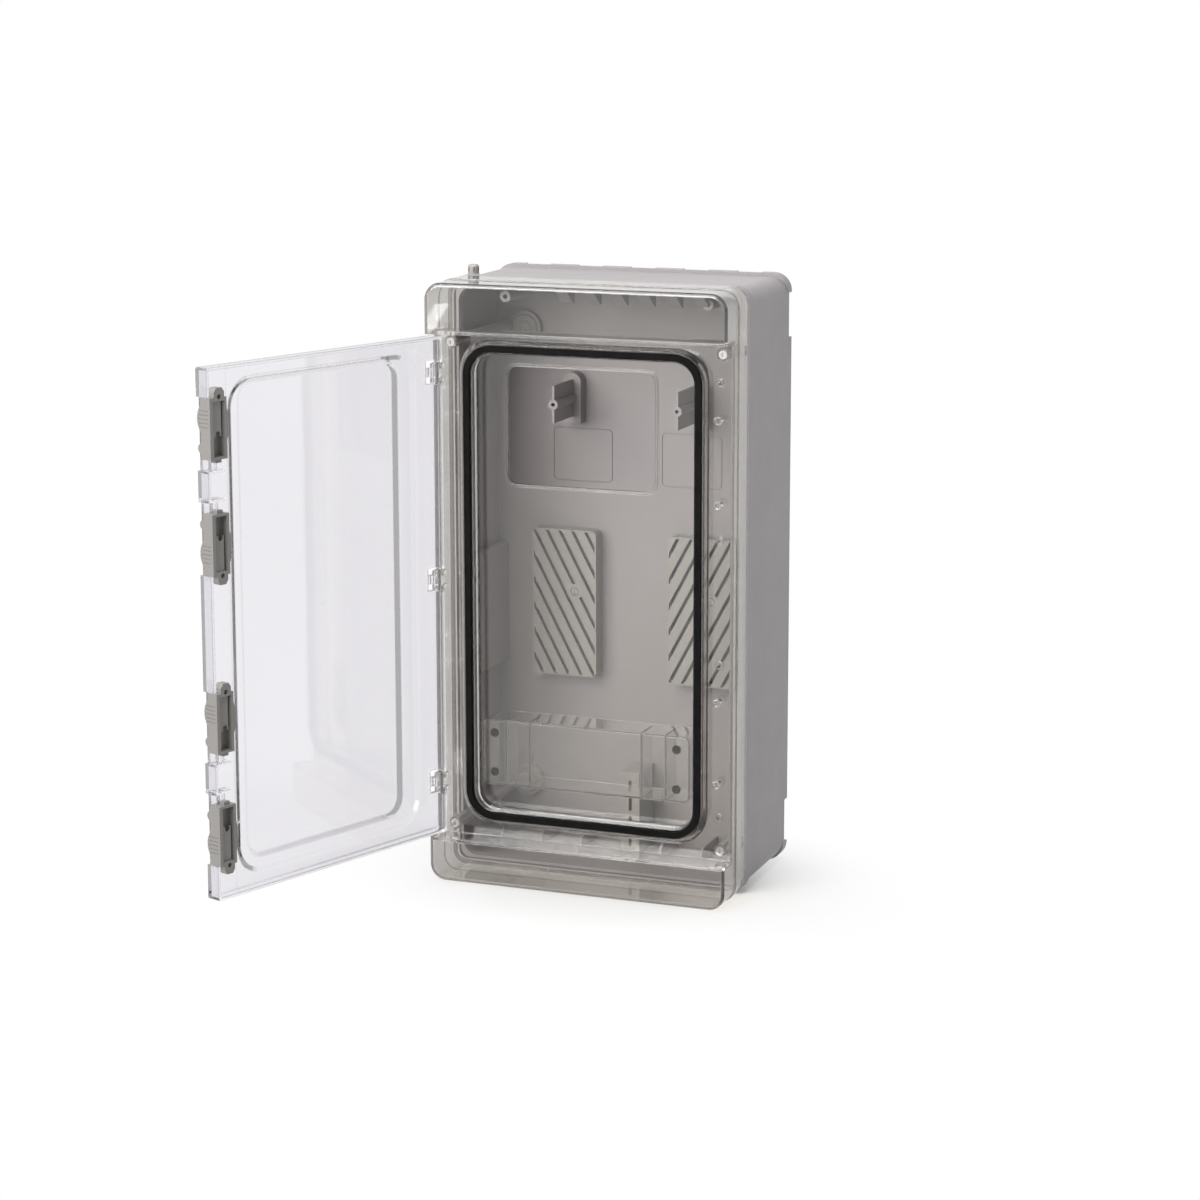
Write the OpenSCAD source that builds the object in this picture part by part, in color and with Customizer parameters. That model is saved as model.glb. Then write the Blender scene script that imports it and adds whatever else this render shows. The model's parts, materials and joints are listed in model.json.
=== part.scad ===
// Wall enclosure with a clear hinged door: an opaque deep base, a clear cover with a sealed
// window, a clear tray door on three hinge pins, and four keyhole slide latches.
// Frame: the origin is in the wall plane at the middle of the four wall fixings.
// +X is right, +Y goes back to the wall and +Z is up. Depth d counts back from the front face.

/* [Enclosure] */
// Width over the base
box_w = 280; // [250:5:340]
// Height over the base
box_h = 540; // [500:5:640]
// Depth from the front bands to the wall
box_d = 180; // [160:5:230]
// Corner radius seen from the front
corner_r = 16; // [10:1:24]
// Moulded wall thickness of the base
base_wall = 3; // [2.5:0.25:4]
// Moulded wall thickness of the cover
cover_wall = 3; // [2:0.25:4]
// Depth of the cover, from its front bands to the joint with the base
cover_d = 58; // [48:1:70]
// Depth of the cover's front part, up to the small step in its side
cover_step_d = 32; // [28:1:40]
// Height of that step
cover_step = 1; // [0.5:0.25:1.5]
// Height by which the body is cut back between its flange and its rear rim
body_inset = 3; // [1:0.5:5]
// Depth of the base flange at the joint
flange_d = 12; // [10:1:16]
// Width of the base flange at the joint
flange_w = 10; // [9:0.5:12]
// Depth of the full height rear rim
rear_rim_d = 12; // [8:1:18]
// Clear space between the back wall and the building wall
back_gap = 14; // [8:1:24]

/* [Cover recess and window] */
// Depth of the recess that the door closes into
recess_d = 22.5; // [22.5:0.5:27]
// Height of the top band, from the top of the box to the recess
top_band_h = 46; // [40:1:60]
// Height of the bottom band
bottom_band_h = 40.5; // [36:0.5:56]
// Width of the window gasket
gasket_w = 6; // [5:0.5:8]
// Depth of the gasket groove in the collar
groove_d = 3.5; // [3:0.5:6]
// Corner radius of the gasket, outside
gasket_r = 26; // [20:1:32]
// Collar wall beside the gasket
collar_wall = 1.4; // [1.2:0.2:2.4]
// Left margin from the box side to the gasket
gasket_left = 34.5; // [30:0.5:40]
// Right margin from the box side to the gasket
gasket_right = 25.5; // [25:0.5:30]
// Gasket distance below the recess top
gasket_top = 8.5; // [8:0.5:16]
// Gasket distance above the recess bottom
gasket_bottom = 19.5; // [14:0.5:24]

/* [Inner pane] */
// Thickness of the inner pane
pane_t = 2.5; // [2:0.25:3.5]
// Width of the access opening in the pane
access_w = 137; // [100:1:160]
// Height of the access opening
access_h = 104; // [80:2:130]
// Height of the middle of the access opening above the box centre
access_z = 144; // [125:1:146]
// Distance of the access opening to the left of the box middle
access_left = 2; // [0:0.5:8]
// Corner radius of the access opening
access_r = 9; // [4:1:16]
// Distance from the sides of the box to the hood over the lower terminals
hood_side = 42; // [40:1:60]
// Height of the hood
hood_h = 60; // [50:1:80]
// Depth of the hood
hood_d = 35; // [20:1:40]
// Height of the hood's lower edge above the bottom of the box
hood_end = 87; // [80:1:95]

/* [Door] */
// Angle to which the door is open at rest
door_open = 110; // [90:1:130]
// Thickness of the door panel
door_t = 3; // [2.5:0.25:3.5]
// Depth of the door tray, over its rim
door_rim_d = 13; // [9.5:0.5:13.5]
// Wall of the door rim
door_rim_t = 2.5; // [2:0.25:3]
// Depth of the door border behind the bands
door_set = 4; // [3.5:0.25:4.5]
// Height by which the door's middle stands forward
door_crown = 3.2; // [1:0.2:3.4]
// Gap between the door and the recess at the top
door_gap_top = 3; // [2:0.5:5]
// Gap between the door and the recess at the bottom
door_gap_bottom = 2.5; // [2:0.5:5]
// Gap between the door edge and the side of the box
door_gap_side = 2.5; // [2:0.25:3]

/* [Hinge] */
// Diameter of the hinge pins
pin_d = 4; // [3:0.25:4.5]
// Running clearance round a pin, on the radius
pin_clear = 0.08; // [0.05:0.01:0.1]
// Clearance round a pin in its fixed lugs, on the radius
pin_fit = 0.03; // [0.02:0.01:0.05]
// Distance of the hinge axis from the side of the box
hinge_side = 6.5; // [6:0.25:7]
// Depth of the hinge axis
hinge_d = 12.5; // [12.25:0.25:12.75]
// Height of a door barrel
barrel_h = 8; // [6:1:20]
// Height of a fixed lug
lug_h = 4; // [3:0.5:8]
// Height of the middle hinge above the middle of the recess
hinge_rise = 6.25; // [0:0.25:8]
// Distance of the outer hinges from the ends of the recess, less or more that height
hinge_end = 41.75; // [38:0.25:60]

/* [Latches] */
// Length of a latch
latch_l = 63; // [56:1:66]
// Slide of a latch, from released to locked
latch_travel = 6; // [5:0.5:7]
// Distance of a pair's middle from the top or the bottom of the box
pair_end = 147; // [144:1:160]
// Distance between the two stop ribs of a pair
rib_pitch = 24; // [20:1:30]
// Clearance of a latch on its rail
rail_clear = 0.3; // [0.25:0.05:0.4]
// Width of the rail head
rail_w = 7.2; // [6:0.2:8]
// Diameter of the head of a keeper
keeper_head_d = 7.6; // [6.6:0.2:8]
// Diameter of the neck of a keeper
keeper_neck_d = 4.2; // [3.6:0.2:4.6]
// Diameter of the sealing eye
eye_d = 4.2; // [3:0.2:5]

/* [Base fittings] */
// Distance between the wall fixings, across
fix_w = 215; // [205:1:235]
// Distance between the wall fixings, up and down
fix_h = 426; // [400:1:430]
// Diameter of the wall fixing holes
fix_hole_d = 6.5; // [5:0.5:8]
// Diameter of the round wall fixing plugs
plug_d = 25; // [22:0.5:26]
// Distance of the meter posts from the middle
post_x = 59; // [54:1:70]
// Height of the meter posts above the box centre
post_z = 151.5; // [130:0.5:160]
// Length of the meter posts
post_l = 60; // [40:1:70]
// Diameter of the holes for fixing screws
tap_d = 3.5; // [3:0.1:4]
// Width of a slotted fixing grid
grid_w = 62.5; // [54:0.5:66]
// Height of a slotted fixing grid
grid_h = 137; // [110:1:150]
// Height of a grid above the back wall
grid_t = 15; // [10:1:18]
// Distance of a grid's middle from the side of the box
grid_side = 74; // [68:1:80]
// Height of a grid's middle above the box centre
grid_z = -39; // [-60:1:-20]
// Width of a slot in the grids
slot_w = 3; // [2:0.25:4]
// Distance from one grid slot to the next
slot_pitch = 11.2; // [9:0.2:14]
// Slope of the grid slots
slot_angle = 62; // [45:1:70]
// Width of the slotted bar
bar_w = 18; // [16:1:28]
// Depth of the slotted bar
bar_t = 40; // [18:1:44]
// Height of the slotted bar
bar_h = 77; // [50:1:84]
// Distance of the slotted bar to the right of the box middle
bar_x = 8; // [-20:1:20]
// Diameter of the cover screws
screw_d = 4; // [3.5:0.25:4.5]

/* [Hidden] */

$fn = 48;
EPS = 0.01;

// Places that follow from the sizes above
back_d = box_d - back_gap - base_wall;              // front of the back wall
half_w = box_w / 2;
half_h = box_h / 2;
recess_top = half_h - top_band_h;
recess_bottom = -half_h + bottom_band_h;
plane_back_d = recess_d + cover_wall;
door_front_d = door_set;
door_back_d = door_set + door_t;
rim_back_d = door_set + door_rim_d;
door_top = recess_top - door_gap_top;
door_bottom = recess_bottom + door_gap_bottom;
door_mid = (door_top + door_bottom) / 2;
door_left = -half_w + door_gap_side;
door_right = half_w - door_gap_side;
collar_d = door_back_d + 3;                         // front of the collar
gasket_front_d = door_back_d + 0.3;
gx0 = -half_w + gasket_left;
gx1 = half_w - gasket_right;
gz1 = recess_top - gasket_top;
gz0 = recess_bottom + gasket_bottom;
hinge_x = -half_w + hinge_side;
hinge_mid = (recess_top + recess_bottom) / 2 + hinge_rise;
hinge_pitch = (recess_top - recess_bottom) / 2 - hinge_end;
HINGES = [hinge_mid + hinge_pitch, hinge_mid, hinge_mid - hinge_pitch];
lug_r = pin_d / 2 + 2.8;
barrel_r = pin_d / 2 + 2.3;
lug_gap = 0.35;
rib_t = 2;
latch_gap = 0.5;

function fy(d) = d - box_d;

// ---- shared shapes ----

module rounded(w, h, r) {
    square([w - 2 * r, h], center = true);
    square([w, h - 2 * r], center = true);
    for (sx = [-1, 1], sz = [-1, 1])
        translate([sx * (w / 2 - r), sz * (h / 2 - r)]) circle(r);
}

// A plate with rounded corners, seen from the front, between two depths
module slab(w, h, r, d0, d1, x = 0, z = 0) {
    translate([x, fy(d1), z]) rotate([90, 0, 0]) linear_extrude(d1 - d0) rounded(w, h, r);
}

// The same plate given by its four sides
module panel(x0, x1, z0, z1, r, d0, d1) {
    slab(x1 - x0, z1 - z0, r, d0, d1, (x0 + x1) / 2, (z0 + z1) / 2);
}

module block(x0, x1, d0, d1, z0, z1) {
    translate([x0, fy(d0), z0]) cube([x1 - x0, d1 - d0, z1 - z0]);
}

// A round bar along Y
module rod(r, d0, d1, x, z) {
    translate([x, fy(d1), z]) rotate([90, 0, 0]) cylinder(r = r, h = d1 - d0);
}

// A round bar along Z
module post(r, x, d, z0, z1) {
    translate([x, fy(d), z0]) cylinder(r = r, h = z1 - z0);
}

// A flat profile drawn in Y and Z and given a thickness along X
module plate_x(x0, x1) {
    translate([x0, 0, 0]) rotate([90, 0, 90]) linear_extrude(x1 - x0) children();
}

// ---- base ----

seal_in = 4.4;                                      // flange edge to the seal
seal_w = 2.6;
seal_depth = 3.5;
pillar_r = screw_d / 2 + 3;
screw_x_right = half_w - 12;
screw_x_left = -half_w + 16.5;
screw_z_top = recess_top - 9;
screw_z_bottom = recess_bottom + 8.5;
COVER_SCREWS = [[screw_x_left, screw_z_top], [screw_x_right, screw_z_top],
                [screw_x_left, screw_z_bottom], [screw_x_right, screw_z_bottom]];
cover_screw_l = cover_d - recess_d + 16;
FIXINGS = [for (sx = [-1, 1], sz = [-1, 1]) [sx * fix_w / 2, sz * fix_h / 2]];
inner_h = box_h - 2 * body_inset - 2 * base_wall;
inner_w = box_w - 2 * base_wall;
knock_w = 58;
knock_h = 50;
knock_x = 53;
knock_z = 97.5;
grid_x = half_w - grid_side;
grid_boss_h = 5;
grid_screw_x = 10;                                  // grid middle to its screw
grid_screw_z = 11;
GRID_SCREWS = [for (s = [-1, 1]) [s * grid_x + grid_screw_x, grid_z + grid_screw_z]];
bar_bottom = -inner_h / 2 + 0.3;
bar_tab_w = 9;
bar_tab_t = 3;
BAR_SCREWS = [for (sx = [-1, 1]) [bar_x + sx * (bar_w + bar_tab_w) / 2, bar_bottom + bar_h * 0.6]];
plug_ring_h = 6;
pilot_depth = 15;
knock_r = 17;                                       // round knock-outs in the bottom wall
notch_pitch = box_w / 5.5;
notch_w = 24;
wall_lug_h = 40;
top_pillar_x = box_w / 2 - 45;
top_pillar_z = inner_h / 2 - 14;
top_pillar_d = cover_d + 23;
top_lug_x = -42;
top_lug_w = 11;
top_lug_h = 18;
top_lug_pitch = 25.4;
top_lug_l = 14;
breather_x = -half_w + corner_r;
breather_r = 6;
breather_stem_r = 3;
breather_d = cover_d + flange_d + breather_r + 1;
pillar_end_d = back_d - plug_ring_h - 2.5;

module base_shell() {
    difference() {
        union() {
            slab(box_w, box_h - 2 * body_inset, corner_r, cover_d, box_d);
            slab(box_w, box_h, corner_r, cover_d, cover_d + flange_d);
            slab(box_w, box_h, corner_r, box_d - rear_rim_d, box_d);
        }
        slab(box_w - 2 * flange_w, box_h - 2 * flange_w, corner_r - base_wall, cover_d - 1, back_d);
        slab(inner_w, inner_h, corner_r - base_wall, cover_d + flange_d - 2, back_d);
        slab(inner_w, inner_h, corner_r - base_wall, back_d + base_wall, box_d + 1);
    }
}

// Stiffening ribs behind the back wall
module rear_ribs() {
    rib_x = inner_w / 6;
    rib_z = inner_h / 10;
    for (i = [-2:2])
        block(i * rib_x - 1, i * rib_x + 1, back_d + 1, box_d - 3, -inner_h / 2 - 1, inner_h / 2 + 1);
    for (i = [-4:4])
        block(-inner_w / 2 - 1, inner_w / 2 + 1, back_d + 1, box_d - 3, i * rib_z - 1, i * rib_z + 1);
}

// Webs that join the top and bottom walls to the back wall
module end_webs() {
    web_pitch = inner_w / 7;
    web_h = 13;
    bar_room = bar_w / 2 + bar_tab_w + 2;
    for (i = [-3:3], s = [-1, 1])
        if (s > 0 || abs(i * web_pitch - bar_x) > bar_room)
            plate_x(i * web_pitch - 1, i * web_pitch + 1)
                polygon([[fy(back_d - 45), s * (inner_h / 2 + 1)], [fy(back_d - 45), s * (inner_h / 2 - 9)],
                         [fy(back_d - 38), s * (inner_h / 2 - web_h)],
                         [fy(back_d + 1), s * (inner_h / 2 - web_h)],
                         [fy(back_d + 1), s * (inner_h / 2 + 1)]]);
}

// A column with a web and a broad foot, for the meter's upper fixings
module meter_post(x) {
    foot_w = 17;
    foot_h = 46;
    foot_t = 13;
    rod(tap_d / 2 + 2.8, back_d - post_l, back_d + 1, x, post_z);
    block(x - 1, x + 1, back_d - post_l + 0.8, back_d + 1, post_z - 17, post_z + 17);
    block(x - foot_w / 2, x + foot_w / 2, back_d - foot_t, back_d + 1,
          post_z - foot_h / 2, post_z + foot_h / 2 - foot_w / 2);
    rod(foot_w / 2, back_d - foot_t, back_d + 1, x, post_z + foot_h / 2 - foot_w / 2);
}

// A low duct on a side wall
module side_duct(s) {
    duct_w = 10;
    duct_d = back_d - 59;
    duct_top = 12;
    duct_bottom = -100;
    x = s * (half_w - base_wall);
    difference() {
        panel(min(x + s, x - s * duct_w), max(x + s, x - s * duct_w), duct_bottom, duct_top, 4,
              duct_d, back_d + 1);
        panel(min(x + s, x - s * (duct_w - 2)), max(x + s, x - s * (duct_w - 2)),
              duct_bottom + 2, duct_top - 2, 2.5, duct_d + 2, back_d);
    }
}

module base_additions() {
    rear_ribs();
    end_webs();
    for (s = [-1, 1]) {
        meter_post(s * post_x);
        side_duct(s);
        // pillars beside the top wall
        rod(pillar_r, top_pillar_d, back_d + 1, s * top_pillar_x, top_pillar_z);
        block(s * top_pillar_x - 1, s * top_pillar_x + 1, top_pillar_d + 1, back_d + 1,
              top_pillar_z, inner_h / 2 + 1);
    }
    // lugs under the top wall that slope back from the flange
    for (i = [0:5])
        plate_x(top_lug_x + i * top_lug_pitch, top_lug_x + i * top_lug_pitch + top_lug_w)
            polygon([[fy(cover_d + flange_d - 1), inner_h / 2 + 1],
                     [fy(cover_d + flange_d - 1), inner_h / 2 - flange_w + base_wall],
                     [fy(cover_d + flange_d + top_lug_l), inner_h / 2 - top_lug_h],
                     [fy(cover_d + flange_d + top_lug_l + 3), inner_h / 2 - top_lug_h],
                     [fy(cover_d + flange_d + top_lug_l + 3), inner_h / 2 + 1]]);
    // pillars for the cover screws, each with a web to its side wall
    for (p = COVER_SCREWS) {
        rod(pillar_r, cover_d, pillar_end_d, p[0], p[1]);
        block(min(p[0], sign(p[0]) * (half_w - 1)), max(p[0], sign(p[0]) * (half_w - 1)),
              cover_d + flange_d, pillar_end_d, p[1] - 1.2, p[1] + 1.2);
    }
    // flat seat for the breather
    post(breather_r + 1, breather_x, breather_d, inner_h / 2 - 1, half_h - body_inset);
    for (p = FIXINGS) {
        rod(plug_d / 2 + 3, back_d - plug_ring_h, back_d + 1, p[0], p[1]);
        rod(fix_hole_d / 2 + 4, back_d + 1, box_d, p[0], p[1]);
    }
    for (p = concat(GRID_SCREWS, BAR_SCREWS)) rod(tap_d / 2 + 2.5, back_d + 1, box_d - 3, p[0], p[1]);
    for (p = GRID_SCREWS) rod(tap_d / 2 + 2.5, back_d - grid_boss_h, back_d + 1, p[0], p[1]);
}

module base_holes() {
    // seal groove
    difference() {
        slab(box_w - 2 * seal_in, box_h - 2 * seal_in, corner_r - seal_in,
             cover_d - 1, cover_d + seal_depth);
        slab(box_w - 2 * (seal_in + seal_w), box_h - 2 * (seal_in + seal_w), corner_r - seal_in - seal_w,
             cover_d - 2, cover_d + seal_depth + 1);
    }
    for (p = COVER_SCREWS) rod(screw_d / 2 + 0.05, cover_d - 1, cover_d + 20, p[0], p[1]);
    for (p = FIXINGS) {
        rod(plug_d / 2 + 0.1, back_d - plug_ring_h - 1, back_d, p[0], p[1]);
        rod(fix_hole_d / 2, back_d - 1, box_d + 1, p[0], p[1]);
    }
    for (p = concat(GRID_SCREWS, BAR_SCREWS))
        rod(tap_d / 2 - 0.2, back_d - grid_boss_h - 1, back_d + base_wall + 5, p[0], p[1]);
    for (s = [-1, 1]) {
        rod(tap_d / 2, back_d - post_l - 1, back_d - post_l + pilot_depth, s * post_x, post_z);
        rod(screw_d / 2, top_pillar_d - 1, top_pillar_d + pilot_depth, s * top_pillar_x, top_pillar_z);
        // knock-out outlines in the back wall
        difference() {
            slab(knock_w, knock_h, 5, back_d - 1, back_d + 0.8, s * knock_x, knock_z);
            slab(knock_w - 2, knock_h - 2, 4, back_d - 2, back_d + 1, s * knock_x, knock_z);
        }
        // notches in the rear rim for the wall lugs
        for (z = [-1, 1])
            block(min(s * (half_w - base_wall - 1), s * (half_w + 1)),
                  max(s * (half_w - base_wall - 1), s * (half_w + 1)), box_d - 8, box_d + 1,
                  z * (fix_h / 2 + 20) - wall_lug_h / 2, z * (fix_h / 2 + 20) + wall_lug_h / 2);
    }
    // thumb notches along the top of the rear rim
    for (i = [-2:2])
        block(i * notch_pitch - notch_w / 2, i * notch_pitch + notch_w / 2, box_d - 7, box_d + 1,
              half_h - body_inset, half_h + 1);
    // round cable knock-outs in the bottom wall, as grooves
    for (i = [-2:2])
        translate([i * notch_pitch, fy((cover_d + flange_d + box_d - rear_rim_d) / 2),
                   -half_h + body_inset - EPS])
            difference() {
                cylinder(r = knock_r, h = 1);
                translate([0, 0, -1]) cylinder(r = knock_r - 1, h = 3);
            }
    // hole for the breather
    post(breather_stem_r + 0.05, breather_x, breather_d, inner_h / 2 - 2, half_h + 1);
}

module base_housing() {
    color([0.60, 0.59, 0.60]) difference() {
        union() {
            base_shell();
            base_additions();
        }
        base_holes();
    }
}

module cover_seal() {
    color([0.35, 0.35, 0.35]) difference() {
        slab(box_w - 2 * seal_in - 0.2, box_h - 2 * seal_in - 0.2, corner_r - seal_in - 0.1,
             cover_d, cover_d + seal_depth);
        slab(box_w - 2 * (seal_in + seal_w) + 0.2, box_h - 2 * (seal_in + seal_w) + 0.2,
             corner_r - seal_in - seal_w + 0.1, cover_d - 1, cover_d + seal_depth + 1);
    }
}

// ---- cover ----

window_x0 = gx0 + gasket_w + collar_wall;
window_x1 = gx1 - gasket_w - collar_wall;
window_z0 = gz0 + gasket_w + collar_wall;
window_z1 = gz1 - gasket_w - collar_wall;
window_r = gasket_r - gasket_w - collar_wall;
pane_lap = 7;
pane_x0 = window_x0 - pane_lap;
pane_x1 = window_x1 + pane_lap;
pane_z0 = window_z0 - pane_lap;
pane_z1 = window_z1 + pane_lap;
stud_r = 1.5;
stud_in = 3;                                        // pane edge to its studs
STUDS = [for (x = [pane_x0 + stud_in, pane_x1 - stud_in], k = [-1, 0, 1])
            [x, (pane_z0 + pane_z1) / 2 + k * (pane_z1 - pane_z0) * 0.36]];

latch_x0 = gx1 + collar_wall + 2.8;
latch_x1 = door_right - 0.3;
grip_x = door_right - door_rim_t - 0.1;
rail_x = (latch_x0 + grip_x) / 2;
latch_body_top = latch_l / 2 - 9;
eye_z = latch_l / 2 - 8.5;
nub_l = 3;                                          // stop at a latch's lower end
pocket_z = -latch_l / 2 + 17;
latch_face_d = recess_d - 2.6;
keyhole_t = 1.6;
ridge_h = 2.2;
seal_boss_r = 3.6;                                  // boss behind a latch's sealing eye
seal_hole_r = 1.6;
rail_neck_w = 2.6;
rail_neck_h = 3;
rail_head_t = 1.6;
tab_front_d = door_back_d + rail_neck_h + rail_head_t + 0.8;
keyhole_d = latch_face_d - ridge_h - keyhole_t;     // back of the keyhole plate
head_front_d = keyhole_d - 3;
head_back_d = keyhole_d - 0.4;

// Height of a latch: pair is +1 or -1, side is +1 above its stop rib and -1 below it
function latch_z(pair, side) = pair * (half_h - pair_end)
    + side * (rib_pitch / 2 + rib_t / 2 + latch_gap + latch_travel + latch_l / 2);
LATCHES = [[1, 1], [1, -1], [-1, 1], [-1, -1]];

module cover_body() {
    difference() {
        union() {
            // rounded front edge
            hull() {
                slab(box_w - 2 * cover_step - 6, box_h - 2 * cover_step - 6, corner_r - cover_step - 3,
                     0, EPS, $fn = 32);
                slab(box_w - 2 * cover_step - 1.8, box_h - 2 * cover_step - 1.8,
                     corner_r - cover_step - 0.9, 0.9, 0.9 + EPS, $fn = 32);
                slab(box_w - 2 * cover_step, box_h - 2 * cover_step, corner_r - cover_step,
                     3, 3 + EPS, $fn = 32);
            }
            slab(box_w - 2 * cover_step, box_h - 2 * cover_step, corner_r - cover_step, 3, cover_d);
            slab(box_w, box_h, corner_r, cover_step_d, cover_d);
        }
        // the recess for the door
        block(-half_w - 1, half_w + 1, -1, recess_d, recess_bottom, recess_top);
        // the inside
        difference() {
            slab(box_w - 2 * (cover_step + cover_wall), box_h - 2 * (cover_step + cover_wall),
                 corner_r - cover_step - cover_wall, cover_wall, cover_d + 1);
            block(-half_w - 1, half_w + 1, -1, plane_back_d, recess_bottom - cover_wall,
                  recess_top + cover_wall);
            // the inner ring that presses on the seal
            difference() {
                slab(box_w, box_h, corner_r, cover_d - 9, cover_d + 2);
                slab(box_w - 2 * (seal_in + seal_w + 0.7), box_h - 2 * (seal_in + seal_w + 0.7),
                     corner_r - seal_in - seal_w - 0.7, cover_d - 10, cover_d + 3);
            }
        }
    }
}

// The raised collar round the window, with sloping outer sides
module collar() {
    out = collar_wall;
    hull() {
        panel(gx0 - out, gx1 + out, gz0 - out, gz1 + out, gasket_r + out,
              collar_d, collar_d + EPS, $fn = 32);
        panel(gx0 - out - 8, gx1 + out + 0.3, gz0 - out - 7, gz1 + out + 1.8, gasket_r + out + 2,
              recess_d, recess_d + 1, $fn = 32);
    }
}

module keeper(z) {
    translate([rail_x, fy(recess_d + 1), z]) rotate([90, 0, 0]) rotate_extrude()
        polygon([[0, 0], [keeper_neck_d / 2, 0], [keeper_neck_d / 2, recess_d + 1 - head_back_d],
                 [keeper_head_d / 2, recess_d + 1 - head_back_d],
                 [keeper_head_d / 2, recess_d - 0.4 - head_front_d],
                 [keeper_head_d / 2 - 1, recess_d + 1 - head_front_d], [0, recess_d + 1 - head_front_d]]);
}

module hinge_lugs(z) {
    for (s = [-1, 1]) {
        z0 = z + s * (barrel_h / 2 + lug_gap + lug_h / 2) - lug_h / 2;
        post(lug_r, hinge_x, hinge_d, z0, z0 + lug_h);
        block(hinge_x - lug_r, hinge_x + lug_r, hinge_d, recess_d + 1, z0, z0 + lug_h);
    }
}

module front_cover() {
    color([0.86, 0.86, 0.88, 0.45]) difference() {
        union() {
            cover_body();
            collar();
            for (z = HINGES) hinge_lugs(z);
            for (l = LATCHES) {
                keeper(latch_z(l[0], l[1]) + l[1] * pocket_z);
                rod(seal_boss_r, recess_d - 2, recess_d + 1, rail_x,
                    latch_z(l[0], l[1]) + l[1] * (eye_z - latch_travel));
            }
            for (p = COVER_SCREWS) rod(pillar_r + 0.4, recess_d + 1, cover_d, p[0], p[1]);
            for (p = STUDS) rod(stud_r, plane_back_d - 1, plane_back_d + pane_t + 1, p[0], p[1]);
        }
        // the window
        panel(window_x0, window_x1, window_z0, window_z1, window_r, collar_d - 1, plane_back_d + 1);
        // the gasket groove
        difference() {
            panel(gx0, gx1, gz0, gz1, gasket_r, collar_d - 1, collar_d + groove_d);
            panel(gx0 + gasket_w, gx1 - gasket_w, gz0 + gasket_w, gz1 - gasket_w, gasket_r - gasket_w,
                  collar_d - 2, collar_d + groove_d + 1);
        }
        for (z = HINGES)
            post(pin_d / 2 + pin_fit, hinge_x, hinge_d, z - barrel_h / 2 - lug_gap - lug_h - 1,
                 z + barrel_h / 2 + lug_gap + lug_h + 1);
        for (l = LATCHES)
            rod(seal_hole_r, recess_d - 3, plane_back_d - 1, rail_x,
                latch_z(l[0], l[1]) + l[1] * (eye_z - latch_travel));
        for (p = COVER_SCREWS) {
            rod(screw_d / 2 + 0.3, recess_d - 1, cover_d + 1, p[0], p[1]);
            rod(screw_d / 2 + 2, recess_d - 1, recess_d + 3.5, p[0], p[1]);
        }
    }
}

module window_gasket() {
    side = 0.1;
    lip = 0.4;
    color([0.05, 0.05, 0.05]) difference() {
        union() {
            panel(gx0 + side, gx1 - side, gz0 + side, gz1 - side, gasket_r - side,
                  gasket_front_d + lip, collar_d + groove_d);
            panel(gx0 + lip, gx1 - lip, gz0 + lip, gz1 - lip, gasket_r - lip,
                  gasket_front_d, gasket_front_d + lip + EPS);
        }
        panel(gx0 + gasket_w - side, gx1 - gasket_w + side, gz0 + gasket_w - side, gz1 - gasket_w + side,
              gasket_r - gasket_w + side, gasket_front_d + lip, collar_d + groove_d + 1);
        panel(gx0 + gasket_w - lip, gx1 - gasket_w + lip, gz0 + gasket_w - lip, gz1 - gasket_w + lip,
              gasket_r - gasket_w + lip, gasket_front_d - 1, gasket_front_d + lip + EPS);
    }
}

module inner_pane() {
    color([0.86, 0.86, 0.88, 0.45]) difference() {
        union() {
            panel(pane_x0, pane_x1, pane_z0, pane_z1, window_r, plane_back_d, plane_back_d + pane_t);
            // bead round the access opening
            slab(access_w + 5, access_h + 5, access_r + 2.5, plane_back_d - 1.2, plane_back_d + 1,
                 -access_left, access_z);
        }
        slab(access_w, access_h, access_r, plane_back_d - 2, plane_back_d + pane_t + 1,
             -access_left, access_z);
        for (p = STUDS) rod(stud_r + 0.05, plane_back_d - 1, plane_back_d + pane_t + 1, p[0], p[1]);
    }
}

module terminal_hood() {
    pad_h = 0.8;
    pad_in = 12;
    d0 = plane_back_d + pane_t + pad_h;
    w = 1.5;
    hood_w = box_w - 2 * hood_side;
    z0 = hood_end - half_h;
    z1 = z0 + hood_h;
    color([0.86, 0.86, 0.88, 0.45]) difference() {
        union() {
            slab(hood_w, hood_h, 6, d0, d0 + hood_d, 0, (z0 + z1) / 2);
            // pads that are welded to the pane
            for (s = [-1, 1], z = [z0 + pad_in, z1 - pad_in])
                rod(4, d0 - pad_h, d0 + EPS, s * (hood_w / 2 - pad_in), z);
        }
        difference() {
            slab(hood_w - 2 * w, hood_h - 2 * w, 4.5, d0 + w, d0 + hood_d + 1, 0, (z0 + z1) / 2);
            for (s = [-1, 1], k = [0.27, 0.385])
                block(s * k * hood_w - w / 2, s * k * hood_w + w / 2, d0, d0 + hood_d - 8, z0, z1);
        }
    }
}

// ---- fittings ----

module cover_screws() {
    color([0.75, 0.75, 0.77]) for (p = COVER_SCREWS) difference() {
        union() {
            rod(screw_d / 2 + 1.7, recess_d + 0.4, recess_d + 3.5, p[0], p[1]);
            rod(screw_d / 2, recess_d + 3, recess_d + 3.5 + cover_screw_l, p[0], p[1]);
        }
        for (a = [0, 90])
            translate([p[0], fy(recess_d + 0.4), p[1]]) rotate([0, a, 0])
                translate([-2, -1, -0.4]) cube([4, 2.6, 0.8]);
    }
}

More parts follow.
